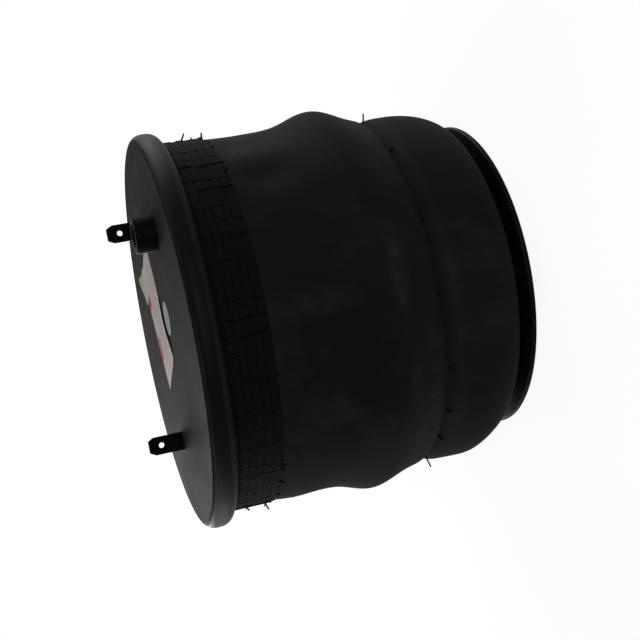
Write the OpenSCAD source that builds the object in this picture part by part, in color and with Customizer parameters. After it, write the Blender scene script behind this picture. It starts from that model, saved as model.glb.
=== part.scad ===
// Rolling-lobe air suspension spring, standing on its piston with the bead plate on top.
// Millimetres. The axis of the spring is Z and the origin is the centre of the piston's base.

/* [Whole spring] */
// Height from the piston's base to the outer face of the bead plate
spring_h = 240; // [236:1:246]
// Diameter over the rolled rim of the bead plate
plate_d = 288; // [286:1:292]

/* [Bead plate] */
// Thickness of the bead plate's sheet
plate_t = 3; // [2.5:0.5:3.5]
// Depth of the rolled rim, along the axis
rim_h = 17.2; // [16.5:0.1:18]
// Width of the rolled rim's section
rim_w = 15; // [14.5:0.5:16]
// Radius of the crease between the flat face and the rolled rim
crease_r = 139.4; // [138:0.2:140]
// Depth of that crease
crease_depth = 0.8; // [0.4:0.1:1]

/* [Air inlet boss] */
// Diameter of the boss
boss_d = 26; // [24:0.5:28]
// Height of the boss above the plate
boss_h = 14.8; // [12:0.2:16]
// Bore of the boss, at the crests of an M16 x 1.5 thread
port_d = 14.5; // [13:0.1:15]
// Place of the boss on the plate, along X
boss_x = 53.3; // [48:0.1:58]
// Place of the boss on the plate, along Y
boss_y = 69.1; // [64:0.1:74]

/* [Locating tabs] */
// Distance of each tab from the plate's centre line
tab_y = 79.5; // [74:0.5:84]
// Offset of the tabs behind the centre of the plate, along X
tab_x = -17; // [-24:1:-8]
// Width of a tab
tab_w = 13.2; // [12:0.2:15]
// Thickness of a tab
tab_t = 3.5; // [3:0.5:5]
// Height of a tab above the plate
tab_h = 25.6; // [22:0.2:30]
// Diameter of the cross hole in a tab
tab_hole_d = 4.2; // [3.5:0.1:5.5]
// Distance of the cross hole from the tip of the tab
tab_hole_from_tip = 9.4; // [8:0.1:11]
// Length of the bevel at the tab's tip
tab_bevel_l = 4.2; // [2:0.2:6]
// Width of the bevel at the tab's tip
tab_bevel_w = 2.3; // [1:0.1:4]

/* [Bellows] */
// Outer radius of the sleeve where it is straight
sleeve_r = 133.7; // [133:0.1:134]
// Outer radius of the sleeve below the neck
lower_r = 130.7; // [130:0.1:131.5]
// Height of the upper bulge's crest
bulge_z = 110; // [106:1:114]
// How far the upper bulge swells out
bulge_rise = 8.4; // [6:0.2:10]
// Half-width of the upper bulge
bulge_w = 21; // [18:1:24]
// Height of the neck between the two bulges
neck_z = 71.5; // [68:0.5:75]
// Depth of the neck
neck_depth = 5.2; // [3:0.2:6]
// Half-width of the neck
neck_w = 5; // [4:0.5:7]
// Height of the lower edge of the ribbed grip band
band_z = 191.7; // [188:0.1:195]
// How far the grip band stands out
band_rise = 1.5; // [1:0.1:1.6]
// Spacing of the ribs around the grip band
band_pitch = 5.4; // [5:0.2:6]
// Height of those ribs
band_rib = 0.4; // [0.2:0.1:0.5]
// Lowest point of the rolling lobe
lobe_z = 12.3; // [11:0.1:14]
// Height at which the rolling lobe begins
lobe_start_z = 52; // [48:1:56]
// Thickness of the outer rubber cover
cover_t = 1.6; // [1.4:0.1:1.8]
// Thickness of one cord ply
ply_t = 0.7; // [0.6:0.1:0.8]
// Thickness of the inner rubber liner
liner_t = 1; // [0.8:0.1:1.2]
// Gap between two layers of the wall
layer_gap = 0.05; // [0.05:0.05:0.1]

/* [Bead wires] */
// Diameter of a bead's wire bundle
wire_d = 5; // [4:0.5:5.5]
// Room around the wire bundle in its bead
wire_room = 0.3; // [0.3:0.05:0.4]
// Radius of the lower bead's hoop
lower_bead_r = 68; // [67:0.5:69]

/* [Piston] */
// Radius of the piston's wall
piston_r = 90.5; // [90:0.1:90.5]
// Height of the piston's deck
deck_z = 110; // [108:0.5:112]
// Thickness of the piston's wall and deck
wall_t = 5; // [4:0.5:6]
// Diameter of the base flange
flange_d = 230; // [224:1:234]
// Thickness of the base flange
flange_t = 4; // [3:0.2:5]
// Rounding of the flange's upper edge
flange_edge_r = 1.6; // [1:0.1:2]
// Rounding between the flange and the wall
flange_fillet_r = 6; // [3:0.5:7]
// Radius of the centre hub
hub_r = 21; // [20:0.5:23]
// Depth of the ribbed cells under the base
cell_depth = 22; // [20:1:24]
// Thickness of the ribs under the base
rib_t = 3.2; // [2.8:0.2:3.6]
// Radius of the ring rib
ring_rib_r = 55; // [54:0.5:56]
// Radial ribs inside the ring rib
inner_ribs = 8; // [4:4:8]
// Radial ribs outside the ring rib
outer_ribs = 16; // [12:4:20]

/* [Base threads] */
// Pitch circle diameter of the threaded inserts
insert_pcd = 110; // [108:1:112]
// Width of a hexagonal insert, across its corners
insert_d = 18; // [17:0.5:19]
// Bore of an insert, at the crests of an M12 thread
insert_bore_d = 10.2; // [10:0.1:10.6]
// Length of an insert
insert_l = 20; // [16:1:24]

/* [Bump stop] */
// Height of the bump stop's crown above the base
bump_top_z = 186; // [180:1:188]
// Radius of the bump stop's foot
bump_foot_r = 43; // [38:1:46]
// Radius of the bump stop's waist
bump_waist_r = 27; // [24:1:32]
// Radius of the bump stop's head
bump_head_r = 33; // [28:1:36]

/* [Hidden] */
$fn = 96;
eps = 0.01;

plate_under_z = spring_h - plate_t;
rim_z = spring_h - rim_h / 2;
rim_r = plate_d / 2 - rim_w / 2;
rim_in_h = plate_under_z - rim_z;
rim_in_w = rim_w / 2 - plate_t + 0.4;
rim_squareness = 2.5;
root_depth = plate_t + 3;
flange_r = flange_d / 2;
deck_edge_r = 14;
touch = 0.3;
bead_h = rim_in_h - touch;
bead_w = rim_in_w - touch;
lower_bead_z = deck_z + 3.6;
lower_bead_h = 5.6;

// Clamp plate: a pressed dish whose rim holds the lower bead down
clamp_t = 3;
clamp_rim_z = lower_bead_z + lower_bead_h + touch;
clamp_floor_z = deck_z;
clamp_floor_r = 48;
clamp_rise_r = 56;
clamp_r = 77;
clamp_lip_h = 1.6;
seal_r = 36;
seal_d = 4;

// Centre bolt, an M12 that rises from the hub into the bump stop
bolt_r = 6;
bolt_hole_r = 6.5;
bolt_head_h = 7.5;
bolt_head_flats = 18;
bolt_pocket_r = 13.5;
bolt_washer_r = 12;
bolt_washer_t = 2.5;
bolt_top_z = 138;
bush_r = 11;
bush_top_z = 141;
bush_flange_r = 30;
bush_flange_t = 4;
bush_bore_r = 6.05;

// Outline of the sleeve's outer surface, as [radius, height] points from the rim down,
// round the rolling lobe and up over the piston's shoulder.
function bump(z, at, w) = exp(-pow((z - at) / w, 2));
function ease(t) = let (u = min(1, max(0, t))) u * u * (3 - 2 * u);
function signed_pow(v, p) = sign(v) * pow(abs(v), p);
function oblong(half_w, half_h, a) =
    [half_w * signed_pow(cos(a), 2 / rim_squareness), half_h * signed_pow(sin(a), 2 / rim_squareness)];
function base_r(z) = lower_r + (sleeve_r - lower_r) * ease((z - 78) / 44);
function sleeve_outer(z) = base_r(z) + bulge_rise * bump(z, bulge_z, bulge_w)
    - neck_depth * bump(z, neck_z, neck_w);

lobe_in_r = piston_r + touch;
lobe_mid_r = (lower_r + lobe_in_r) / 2;
lobe_half_w = (lower_r - lobe_in_r) / 2;
lobe_half_h = lobe_start_z - lobe_z;
sleeve_top_z = rim_z - rim_h / 2 + 2.4;
rib_first_z = band_z + 2.6;
rib_count = floor((rim_z - rim_h / 2 - rib_first_z) / band_pitch) + 1;
deck_under_z = deck_z - wall_t - 4;
floor_t = 3;
base_top_z = cell_depth + floor_t;
spigot_r = piston_r - wall_t - 0.2;
spigot_t = 4.2;
rib_foot_z = 1.2;
rib_h = cell_depth - rib_foot_z + 1;
insert_gap = 0.05;
shoulder_z = deck_z - deck_edge_r;
shoulder_r = piston_r - deck_edge_r;
shoulder_out = deck_edge_r + touch;

top_points = [rim_z - 2.5, sleeve_top_z, band_z, for (z = [band_z - 24:-6:bulge_z + 34]) z];
wall_points = [for (z = [bulge_z + 29.5:-3:neck_z + 14]) z];
neck_points = [for (z = [neck_z + 12:-1.6:neck_z - 12]) z];
low_points = [for (z = [neck_z - 14.5:-2.5:lobe_start_z + 0.5]) z];
outer_path = [for (z = concat(top_points, wall_points, neck_points, low_points)) [sleeve_outer(z), z]];
lobe_path = [
    for (a = [0:-7.5:-180]) [lobe_mid_r + lobe_half_w * cos(a), lobe_start_z + lobe_half_h * sin(a)]
];
inner_path = [
    for (z = [lobe_start_z + 12:12:shoulder_z - 4]) [lobe_in_r, z],
    for (a = [0:9:90]) [shoulder_r + shoulder_out * cos(a), shoulder_z + shoulder_out * sin(a)],
    [lower_bead_r + 2, deck_z + touch]
];
path = concat(outer_path, lobe_path, inner_path);

// Unit normal of the path at point i, towards the air chamber
function path_dir(i) = let (a = path[max(0, i - 1)], b = path[min(len(path) - 1, i + 1)]) b - a;
function path_normal(i) = let (d = path_dir(i)) [d[1], -d[0]] / norm(d);
path_normals = [for (i = [0:len(path) - 1]) path_normal(i)];

// Section of one layer of the wall, from depth d1 to depth d2 under the outer surface,
// leaving out a few points of the path at its two ends.
module layer_section(d1, d2, skip_top, skip_end) {
    last = len(path) - 1 - skip_end;
    polygon([
        for (i = [skip_top:last]) path[i] + d1 * path_normals[i],
        for (i = [last:-1:skip_top]) path[i] + d2 * path_normals[i]
    ]);
}

module oblong_section(half_w, half_h) {
    polygon([for (a = [0:9:351]) oblong(half_w, half_h, a)]);
}

// Bellows

module upper_bead_section() {
    translate([rim_r, rim_z]) oblong_section(bead_w, bead_h);
}

module lower_bead_section() {
    translate([lower_bead_r, lower_bead_z]) oblong_section(bead_w, lower_bead_h);
}

module grip_band_section() {
    polygon([
        [sleeve_r - 0.8, band_z - 1.5], [sleeve_r, band_z - 1.5],
        [sleeve_r + band_rise, band_z], [sleeve_r + band_rise, rim_z - 3], [sleeve_r - 0.8, rim_z - 3]
    ]);
}

module grip_rib_section() {
    polygon([[-0.5, -1.2], [band_rib, -0.3], [band_rib, 0.3], [-0.5, 1.2]]);
}

module wire_channel(r, z) {
    rotate_extrude($fn = 180) translate([r, z]) circle(d = wire_d + 2 * wire_room, $fn = 32);
}

module bellows_cover() {
    color([0.09, 0.09, 0.095])
        difference() {
            union() {
                rotate_extrude($fn = 180) layer_section(0, cover_t, 0, 0);
                rotate_extrude($fn = 180) grip_band_section();
                rotate_extrude($fn = 180) upper_bead_section();
                rotate_extrude($fn = 180) lower_bead_section();
                for (i = [0:rib_count - 1])
                    rotate_extrude($fn = 180)
                        translate([sleeve_r + band_rise, rib_first_z + i * band_pitch])
                            grip_rib_section();
            }
            wire_channel(rim_r, rim_z);
            wire_channel(lower_bead_r, lower_bead_z);
        }
}

module outer_cord_ply() {
    d = cover_t + layer_gap;
    color([0.45, 0.42, 0.36]) rotate_extrude($fn = 180) layer_section(d, d + ply_t, 1, 2);
}

module inner_cord_ply() {
    d = cover_t + ply_t + 2 * layer_gap;
    color([0.5, 0.47, 0.4]) rotate_extrude($fn = 180) layer_section(d, d + ply_t, 1, 2);
}

module inner_liner() {
    d = cover_t + 2 * ply_t + 3 * layer_gap;
    color([0.12, 0.12, 0.12]) rotate_extrude($fn = 180) layer_section(d, d + liner_t, 1, 2);
}

module wire_hoop(r, z) {
    color([0.62, 0.6, 0.56])
        rotate_extrude($fn = 180)
            translate([r, z]) circle(d = wire_d, $fn = 32);
}

module upper_bead_wire() {
    wire_hoop(rim_r, rim_z);
}

module lower_bead_wire() {
    wire_hoop(lower_bead_r, lower_bead_z);
}

// Bead plate: a flat steel disc whose rim is rolled over the upper bead

function rim_out(a) = [rim_r, rim_z] + oblong(rim_w / 2, rim_h / 2, a);
function rim_in(a) = [rim_r, rim_z] + oblong(rim_in_w, rim_in_h, a);

module bead_plate_section() {
    polygon([
        [0, spring_h],
        [crease_r - 1.2, spring_h],
        [crease_r - 0.5, spring_h - crease_depth * 0.7],
        [crease_r, spring_h - crease_depth],
        for (a = [66:-6:-90]) rim_out(a),
        rim_out(-91.5),
        rim_in(-91.5),
        for (a = [-84:9:87]) rim_in(a),
        [rim_r, plate_under_z],
        [0, plate_under_z]
    ]);
}

module bead_plate() {
    slot_w = tab_w + 0.2;
    slot_t = tab_t + 0.2;
    color([0.2, 0.2, 0.205])
        difference() {
            rotate_extrude($fn = 180) bead_plate_section();
            translate([boss_x, boss_y, plate_under_z - 1]) cylinder(d = boss_d + 0.2, h = plate_t + 2);
            for (side = [-1, 1])
                translate([tab_x - slot_t / 2, side * tab_y - slot_w / 2, plate_under_z - 1])
                    cube([slot_t, slot_w, plate_t + 2]);
        }
}

module air_inlet_boss() {
    color([0.11, 0.11, 0.115])
        translate([boss_x, boss_y, spring_h])
            rotate_extrude()
                polygon([
                    [port_d / 2 + 1, boss_h], [port_d / 2, boss_h - 1],
                    [port_d / 2, -root_depth], [boss_d / 2, -root_depth],
                    [boss_d / 2, boss_h - 0.8], [boss_d / 2 - 0.8, boss_h]
                ]);
}

module boss_weld() {
    leg = 2.4;
    color([0.16, 0.16, 0.165])
        translate([boss_x, boss_y, plate_under_z])
            rotate_extrude()
                translate([boss_d / 2, 0])
                    polygon([
                        [0, 0], [leg, 0], [leg * 0.62, -leg * 0.18], [leg * 0.4, -leg * 0.4],
                        [leg * 0.18, -leg * 0.62], [0, -leg]
                    ]);
}

module tab_blade() {
    difference() {
        rotate([90, 0, 90])
            linear_extrude(tab_t, center = true)
                polygon([
                    [-tab_w / 2, -root_depth], [tab_w / 2, -root_depth],
                    [tab_w / 2, tab_h - tab_bevel_l], [tab_w / 2 - tab_bevel_w, tab_h],
                    [-tab_w / 2 + tab_bevel_w, tab_h], [-tab_w / 2, tab_h - tab_bevel_l]
                ]);
        translate([0, 0, tab_h - tab_hole_from_tip])
            rotate([0, 90, 0]) cylinder(d = tab_hole_d, h = tab_t + 2, center = true, $fn = 48);
    }
}

module locating_tab(side) {
    color([0.1, 0.1, 0.105]) translate([tab_x, side * tab_y, spring_h]) tab_blade();
}

module locating_tab_inlet_side() {
    locating_tab(1);
}

module locating_tab_far_side() {
    locating_tab(-1);
}

module tab_welds() {
    leg = 2;
    color([0.16, 0.16, 0.165])
        for (side = [-1, 1])
            translate([tab_x, side * tab_y, plate_under_z])
                difference() {
                    hull() {
                        translate([-tab_t / 2 - leg, -tab_w / 2 - leg, -0.3])
                            cube([tab_t + 2 * leg, tab_w + 2 * leg, 0.3]);
                        translate([-tab_t / 2 - 0.3, -tab_w / 2 - 0.3, -leg])
                            cube([tab_t + 0.6, tab_w + 0.6, leg]);
                    }
                    translate([-tab_t / 2, -tab_w / 2, -leg - 1]) cube([tab_t, tab_w, leg + 2]);
                }
}

// Piston: a moulded cup that stands on a flanged base moulding, ribbed underneath

module piston_section() {
    foot_top_z = flange_t + 1.2;
    fillet_z = foot_top_z + flange_fillet_r;
    seat_in = lower_bead_r - bead_w - touch;
    seat_out = lower_bead_r + bead_w + touch;
    seat_z = lower_bead_z - lower_bead_h - touch;
    polygon([
        [piston_r - wall_t, flange_t],
        [piston_r + flange_fillet_r, flange_t],
        for (a = [-90:-15:-180])
            [piston_r + flange_fillet_r * (1 + cos(a)), fillet_z + flange_fillet_r * sin(a)],
        for (a = [0:10:90]) [shoulder_r + deck_edge_r * cos(a), shoulder_z + deck_edge_r * sin(a)],
        [seat_out, deck_z], [seat_out, seat_z], [seat_in, seat_z], [seat_in, deck_z],
        [seal_r + seal_d / 2 + touch, deck_z], [seal_r + seal_d / 2 + touch, deck_z - seal_d],
        [seal_r - seal_d / 2 - touch, deck_z - seal_d], [seal_r - seal_d / 2 - touch, deck_z],
        [bolt_hole_r, deck_z], [bolt_hole_r, base_top_z],
        [hub_r, base_top_z], [hub_r, deck_under_z],
        [piston_r - wall_t - 8, deck_under_z],
        [piston_r - wall_t, deck_under_z - 8]
    ]);
}

module piston() {
    color([0.045, 0.045, 0.05]) rotate_extrude($fn = 180) piston_section();
}

module base_section() {
    polygon([
        [bolt_hole_r, cell_depth], [bolt_hole_r, base_top_z],
        [spigot_r - 1.5, base_top_z], [spigot_r, base_top_z - 1.5], [spigot_r, flange_t],
        for (a = [90:-15:0])
            [flange_r - flange_edge_r * (1 - cos(a)), flange_t - flange_edge_r * (1 - sin(a))],
        [flange_r, 0.8], [flange_r - 0.8, 0],
        [spigot_r - spigot_t, 0], [spigot_r - spigot_t, cell_depth],
        [bolt_pocket_r + 4.5, cell_depth], [bolt_pocket_r + 4.5, 0],
        [bolt_pocket_r, 0], [bolt_pocket_r, cell_depth]
    ]);
}

module rib_ring() {
    difference() {
        cylinder(r = ring_rib_r + rib_t / 2, h = rib_h, $fn = 120);
        translate([0, 0, -1]) cylinder(r = ring_rib_r - rib_t / 2, h = rib_h + 2, $fn = 120);
    }
}

module radial_ribs(count, r1, r2, turn) {
    for (i = [0:count - 1])
        rotate([0, 0, turn + i * 360 / count])
            translate([r1, -rib_t / 2, 0]) cube([r2 - r1, rib_t, rib_h]);
}

module insert_places() {
    for (i = [0:3]) rotate([0, 0, 45 + i * 90]) translate([insert_pcd / 2, 0, 0]) children();
}

module piston_base() {
    color([0.045, 0.045, 0.05])
        difference() {
            union() {
                rotate_extrude($fn = 180) base_section();
                translate([0, 0, rib_foot_z]) {
                    rib_ring();
                    radial_ribs(inner_ribs, bolt_pocket_r + 2, ring_rib_r, 0);
                    radial_ribs(outer_ribs, ring_rib_r, spigot_r - 2, 180 / outer_ribs);
                }
                insert_places() cylinder(d = insert_d + 9, h = cell_depth + 1, $fn = 64);
            }
            insert_places()
                translate([0, 0, -1]) insert_blank(insert_d + 2 * insert_gap, insert_l + insert_gap + 1);
        }
}

module insert_blank(d, h) {
    cylinder(d = d, h = h, $fn = 6);
}

module mounting_inserts() {
    color([0.72, 0.6, 0.3])
        insert_places()
            difference() {
                insert_blank(insert_d, insert_l);
                translate([0, 0, -1]) cylinder(d = insert_bore_d, h = insert_l + 2, $fn = 64);
            }
}

// Lower bead's clamp, the bump stop and the bolt that holds them

module clamp_plate() {
    color([0.6, 0.61, 0.62])
        rotate_extrude($fn = 144)
            polygon([
                [bolt_hole_r, clamp_floor_z], [clamp_floor_r, clamp_floor_z],
                [clamp_rise_r, clamp_rim_z], [clamp_r - clamp_t, clamp_rim_z],
                [clamp_r - clamp_t, clamp_rim_z - clamp_lip_h], [clamp_r, clamp_rim_z - clamp_lip_h],
                [clamp_r, clamp_rim_z + clamp_t - 1.4], [clamp_r - 1.4, clamp_rim_z + clamp_t],
                [clamp_rise_r - 1.4, clamp_rim_z + clamp_t],
                [clamp_floor_r - 1.4, clamp_floor_z + clamp_t], [bolt_hole_r, clamp_floor_z + clamp_t]
            ]);
}

module clamp_seal() {
    color([0.07, 0.07, 0.07])
        rotate_extrude($fn = 96)
            translate([seal_r, deck_z - seal_d / 2]) circle(d = seal_d - 0.1, $fn = 24);
}

module centre_bolt() {
    head_top_z = cell_depth - bolt_washer_t;
    color([0.68, 0.68, 0.66]) {
        translate([0, 0, head_top_z - bolt_head_h])
            intersection() {
                cylinder(r = bolt_head_flats / 2 / cos(30), h = bolt_head_h, $fn = 6);
                rotate_extrude($fn = 72)
                    polygon([
                        [0, 0], [bolt_head_flats / 2 - 0.3, 0], [bolt_head_flats / 2 + 2, 1.4],
                        [bolt_head_flats / 2 + 2, bolt_head_h], [0, bolt_head_h]
                    ]);
            }
        translate([0, 0, head_top_z - eps])
            rotate_extrude($fn = 72)
                polygon([
                    [0, 0], [bolt_r, 0], [bolt_r, bolt_top_z - head_top_z - 1],
                    [bolt_r - 1, bolt_top_z - head_top_z], [0, bolt_top_z - head_top_z]
                ]);
    }
}

module centre_washer() {
    color([0.74, 0.74, 0.72])
        translate([0, 0, cell_depth - bolt_washer_t])
            difference() {
                cylinder(r = bolt_washer_r, h = bolt_washer_t, $fn = 72);
                translate([0, 0, -1]) cylinder(r = bolt_hole_r, h = bolt_washer_t + 2, $fn = 72);
            }
}

module bump_stop_insert() {
    foot_z = clamp_floor_z + clamp_t;
    color([0.66, 0.66, 0.64])
        rotate_extrude($fn = 96)
            polygon([
                [bush_bore_r, foot_z], [bush_flange_r, foot_z], [bush_flange_r, foot_z + bush_flange_t],
                [bush_r + 2, foot_z + bush_flange_t], [bush_r, foot_z + bush_flange_t + 2],
                [bush_r, bush_top_z], [bush_bore_r, bush_top_z]
            ]);
}

module bump_stop() {
    foot_z = clamp_floor_z + clamp_t;
    span = bump_top_z - foot_z;
    gap = 0.1;
    waist_z = foot_z + 0.36 * span;
    head_z = foot_z + 0.68 * span;
    crown_r = bump_head_r - 12;
    color([0.13, 0.13, 0.135])
        rotate_extrude($fn = 96)
            polygon([
                [bush_flange_r + gap, foot_z],
                [bump_foot_r, foot_z],
                [bump_foot_r, foot_z + 7],
                for (i = [0:12])
                    let (t = i / 12)
                    [bump_waist_r + (bump_foot_r - 2 - bump_waist_r) * (1 - ease(t)),
                        foot_z + 9 + (waist_z - foot_z - 9) * t],
                for (i = [1:10])
                    let (t = i / 10)
                    [bump_waist_r + (bump_head_r - bump_waist_r) * ease(t), waist_z + (head_z - waist_z) * t],
                for (a = [10:10:80])
                    [crown_r + (bump_head_r - crown_r) * cos(a), head_z + (bump_top_z - head_z) * sin(a)],
                [crown_r, bump_top_z],
                [0, bump_top_z],
                [0, bush_top_z + gap],
                [bush_r + gap, bush_top_z + gap],
                [bush_r + gap, foot_z + bush_flange_t + 2 + gap],
                [bush_r + 2 + gap, foot_z + bush_flange_t + gap],
                [bush_flange_r + gap, foot_z + bush_flange_t + gap]
            ]);
}

piston();
piston_base();
mounting_inserts();
centre_bolt();
centre_washer();
clamp_plate();
clamp_seal();
bump_stop();
bump_stop_insert();
lower_bead_wire();
bellows_cover();
outer_cord_ply();
inner_cord_ply();
inner_liner();
bead_plate();
upper_bead_wire();
air_inlet_boss();
boss_weld();
locating_tab_inlet_side();
locating_tab_far_side();
tab_welds();
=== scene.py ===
import math
import random

import bmesh
import bpy
from mathutils import Matrix, Vector, noise
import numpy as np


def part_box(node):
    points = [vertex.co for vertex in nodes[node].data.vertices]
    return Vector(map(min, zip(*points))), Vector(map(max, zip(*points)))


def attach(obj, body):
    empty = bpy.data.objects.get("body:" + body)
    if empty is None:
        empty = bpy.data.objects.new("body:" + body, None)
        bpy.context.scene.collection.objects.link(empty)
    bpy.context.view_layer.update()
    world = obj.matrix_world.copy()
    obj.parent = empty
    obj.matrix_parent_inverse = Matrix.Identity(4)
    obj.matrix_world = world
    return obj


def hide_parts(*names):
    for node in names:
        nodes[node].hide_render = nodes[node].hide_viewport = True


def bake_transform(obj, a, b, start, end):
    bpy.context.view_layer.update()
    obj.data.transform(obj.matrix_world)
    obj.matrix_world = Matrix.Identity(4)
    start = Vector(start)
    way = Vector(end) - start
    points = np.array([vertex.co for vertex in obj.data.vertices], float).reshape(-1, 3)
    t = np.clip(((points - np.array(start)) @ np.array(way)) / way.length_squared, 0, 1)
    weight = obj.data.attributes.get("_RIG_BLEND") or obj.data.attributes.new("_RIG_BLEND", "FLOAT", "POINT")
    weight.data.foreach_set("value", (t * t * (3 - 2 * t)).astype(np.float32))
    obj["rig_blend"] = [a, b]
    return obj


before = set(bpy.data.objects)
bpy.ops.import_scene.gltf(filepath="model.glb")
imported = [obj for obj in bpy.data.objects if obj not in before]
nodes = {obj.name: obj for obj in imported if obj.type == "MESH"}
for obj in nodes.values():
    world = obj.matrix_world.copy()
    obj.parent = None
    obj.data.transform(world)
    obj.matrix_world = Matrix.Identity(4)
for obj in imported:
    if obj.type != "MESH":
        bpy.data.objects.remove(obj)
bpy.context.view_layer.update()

# Sizes, in metres. The spring stands on its piston, its axis is Z, and the camera looks along -X.

# The bead plate, the middle of its rolled rim, and the painted highlight along the rim
PLATE_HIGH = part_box("bead_plate")[1]
PLATE_TOP, RIM_R = PLATE_HIGH.z, PLATE_HIGH.x
RIM_MID_R, RIM_MID_Z = RIM_R - 0.0075, PLATE_TOP - 0.0086
RIM_HIGHLIGHT_Z, RIM_HIGHLIGHT_HALF = PLATE_TOP - 0.0126, 0.0013

# The sleeve's outer face: its radius above the bulge and below it, where it widens, the bulge and the neck
SLEEVE_R, LOWER_R = 0.1337, 0.1307
WIDENS_FROM, WIDENS_OVER = 0.078, 0.044
BULGE_Z, BULGE_RISE, BULGE_HALF = 0.110, 0.0084, 0.021
NECK_Z, NECK_DEPTH, NECK_HALF = 0.0715, 0.0064, 0.0040
SLEEVE_END_Z = 0.2289

# Where the bulge and the neck start and end, which have more rings than the plain wall
BULGE_TOP, BULGE_FOOT, NECK_FOOT = 0.150, 0.085, 0.060

# The rolling lobe, the wall that comes up inside it, and the shoulder that this wall turns over
LOBE_Z, LOBE_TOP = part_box("bellows_cover")[0].z, 0.052
INNER_R = 0.0908
SHOULDER_R, SHOULDER_Z, SHOULDER_OUT = 0.0765, 0.096, 0.0143

# The beads, and the room for the wires in them
LOWER_BEAD_R, LOWER_BEAD_Z, LOWER_BEAD_HALF_H = 0.068, 0.1136, 0.0056
BEAD_HALF_W, UPPER_BEAD_HALF_H, WIRE_ROOM = 0.0046, 0.0054, 0.0028

# The grip band: its lower and upper edge, the floor of its grooves, its pads and half a groove's width
BAND_Z, BAND_TOP = 0.1917, 0.2262
BAND_FLOOR_R, BAND_PAD_RISE = SLEEVE_R + 0.0011, 0.0004
BAND_ROWS, BAND_COLUMNS = 6, 64
GROOVE_HALF = 0.00048

# The flash in each of the band's grooves has one of these rises, half-widths and barbs below the band's edge,
# and it gets thicker towards the sleeve's two sides.
FLASH_RISES = [0.0003, 0.0005, 0.0006, 0.0007, 0.0011]
FLASH_HALVES = [0.00014, 0.0002, 0.0003, 0.0005]
FLASH_BARBS = [0.0002, 0.0005, 0.0008, 0.0016, 0.0024]
FLASH_SIDE_GAIN = 2.4

# The unloaded rubber's slack: it ends towards the rim and inside the lobe, and hangs a little towards -Y
SLACK_TOP, SLACK_INNER_R, SLACK_SAG = 0.165, 0.104, 0.0008

# Places where the unloaded rubber swells (or sinks): the angle round the axis and its half-width, in degrees,
# the height and its half-width, and how far it stands out.
SWELLS = [
    (70, 34, 0.100, 0.021, 0.0019),
    (-75, 34, 0.034, 0.016, 0.0018),
    (-80, 30, 0.103, 0.015, -0.0022),
    (-80, 26, 0.182, 0.020, 0.0018),
    (43, 6, 0.170, 0.024, -0.0030),
    (55, 5, 0.166, 0.024, 0.0009),
    (118, 13, 0.172, 0.018, -0.0010),
    (163, 22, 0.098, 0.018, 0.0010),
    (205, 10, 0.160, 0.022, -0.0009),
    (248, 24, 0.115, 0.014, 0.0008),
    (-30, 12, 0.150, 0.018, -0.0005),
]

# Chalky marks on the sleeve, and painted highlights where its sides and the bulge's shoulder catch light:
# angle and half-width in degrees, height and half-width, and strength.
# A strength below 0 darkens a place: painted shade.
CHALK_AND_HIGHLIGHT_MARKS = [
    (4, 10, 0.1025, 0.0055, 0.9),
    (-0.5, 3.2, 0.163, 0.024, 0.55),
    (-27, 7, 0.098, 0.0055, 0.55),
    (0, 9, 0.0615, 0.006, 0.3),
    (-44, 9, 0.128, 0.010, 0.35),
    (-52, 27, 0.083, 0.008, 1.1),
    (-57, 9, 0.094, 0.013, 1.3),
    (54, 22, 0.086, 0.010, 0.9),
    (58, 6, 0.162, 0.022, 0.7),
    (58, 8, 0.092, 0.010, 1.6),
    (-48, 10, 0.185, 0.022, 0.4),
    (56, 5, 0.172, 0.013, 1.3),
    (-22, 17, 0.140, 0.034, -0.6),
    (205, 12, 0.108, 0.010, 0.8),
    (150, 26, 0.088, 0.009, 0.5),
    (130, 5, 0.168, 0.016, 0.6),
]

# Loose threads of rubber on the neck's mould line: angle in degrees, length and lean along the axis
NECK_THREADS = [
    (77, 0.0125, -0.3), (49, 0.0044, -0.4), (19, 0.0040, 0.5), (12, 0.0030, -0.3), (-4, 0.0042, 0.3),
    (-28, 0.0048, -0.5), (-45, 0.0062, -0.6), (-60, 0.0060, -0.5), (-79, 0.0122, -0.25),
]

# Threads on the grip band: angle in degrees, height, length and lean along the axis
BAND_THREADS = [
    (75, 0.2070, 0.0066, -0.55), (75, 0.1995, 0.0026, 0.1), (74, 0.1925, 0.0050, -0.05),
    (61, 0.1917, 0.0026, -0.8), (46, 0.1915, 0.0034, -0.9), (-48, 0.1915, 0.0034, -0.9),
    (-57, 0.1917, 0.0038, -0.8), (-79, 0.2100, 0.0034, -0.6), (-80, 0.1960, 0.0056, -0.4),
]

# The side of the sleeve that the photograph doesn't show, in degrees
HIDDEN_SIDE = (95, 265)

# A thread's least and greatest radius, how it tapers and curls, how many fork, and a fork's radius
THREAD_R, THREAD_TAPER, THREAD_CURL = (0.00066, 0.00084), 0.8, 0.16
FORK_SHARE, FORK_R = 0.4, 0.0005

# The labels on the plate, all blank: the large one's lower left corner, turn and size, the film's thickness
# and its gap over the plate, and the round one's place and size
LABEL_CORNER = Vector((-0.032, -0.041, PLATE_TOP))
LABEL_TURN = math.radians(22.3)
LABEL_W, LABEL_L = 0.0605, 0.096
LABEL_T, LABEL_GAP = 0.00014, 0.00003
ROUND_LABEL_AT, ROUND_LABEL_R = Vector((0.0277, 0.0102, PLATE_TOP)), 0.0123

# The threads of the air port and of the base inserts: radius at the crest, at the root and of the bore that
# holds it, and pitch. Then an insert's radius over its corners, the gap round it, and a thread's wall.
PORT_CREST_R, PORT_ROOT_R, PORT_BORE_R, PORT_PITCH = 0.00725, 0.0080, 0.0082, 0.0015
INSERT_CREST_R, INSERT_ROOT_R, INSERT_BORE_R, INSERT_PITCH = 0.0051, 0.0060, 0.0062, 0.00175
INSERT_R, INSERT_GAP, THREAD_WALL = 0.009, 0.00002, 0.0001

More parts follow.
